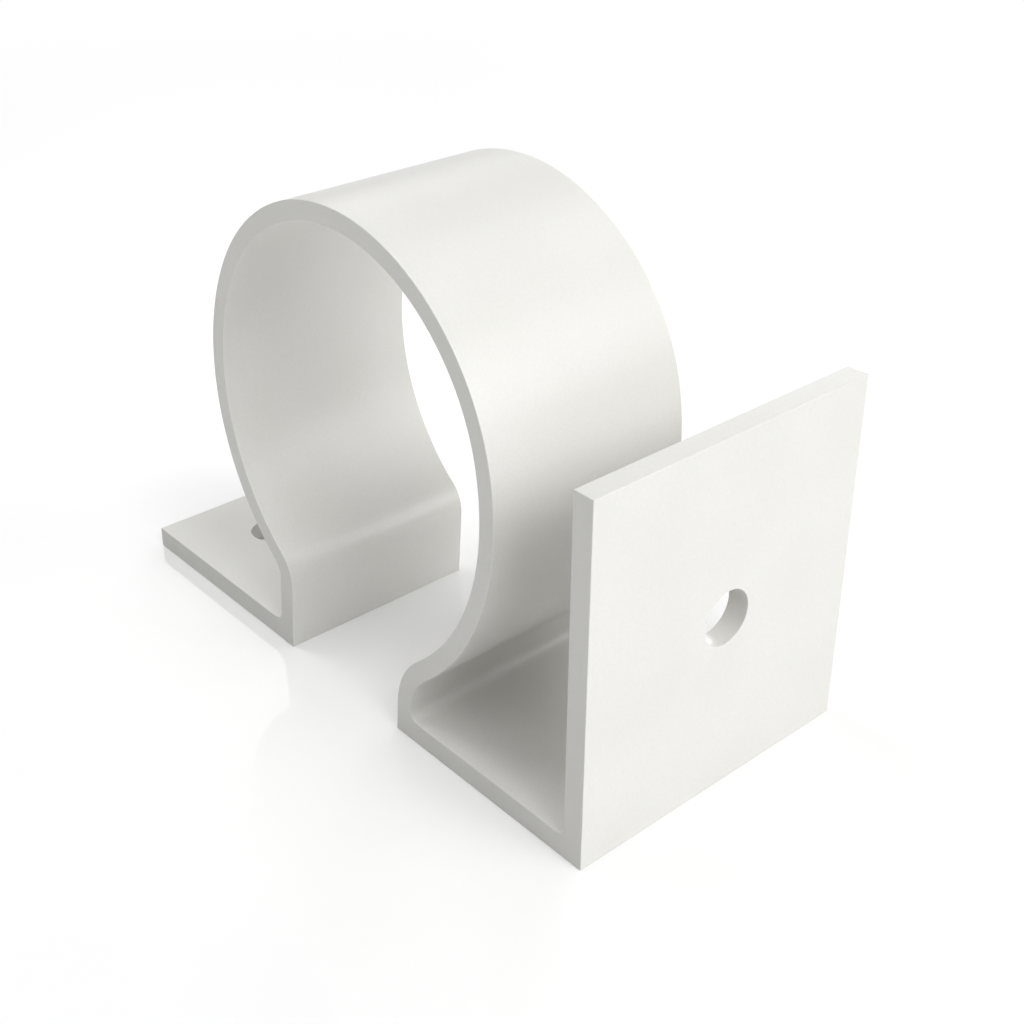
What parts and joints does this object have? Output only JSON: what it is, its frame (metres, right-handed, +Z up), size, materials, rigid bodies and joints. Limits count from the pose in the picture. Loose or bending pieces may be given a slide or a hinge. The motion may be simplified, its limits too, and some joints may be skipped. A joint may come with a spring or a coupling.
{
  "type": "downpipe clip",
  "caption": "White plastic downpipe clip: an open round pipe seat on two flat feet, with a tall screw plate at one end and a screw hole in the other foot.",
  "frame": {"origin": "middle of the outline on the ground, under the clip, at the height of the two feet", "axes": "+Z up, +X along the profile towards the tall plate, +Y along the pipe, away from the end face where strip and plate are flush"},
  "size_m": [0.1246, 0.06, 0.0911],
  "materials": {
    "white_upvc": "satin white, moulded"
  },
  "bodies": {
    "root": {"clip": "white_upvc"}
  },
  "joints": []
}
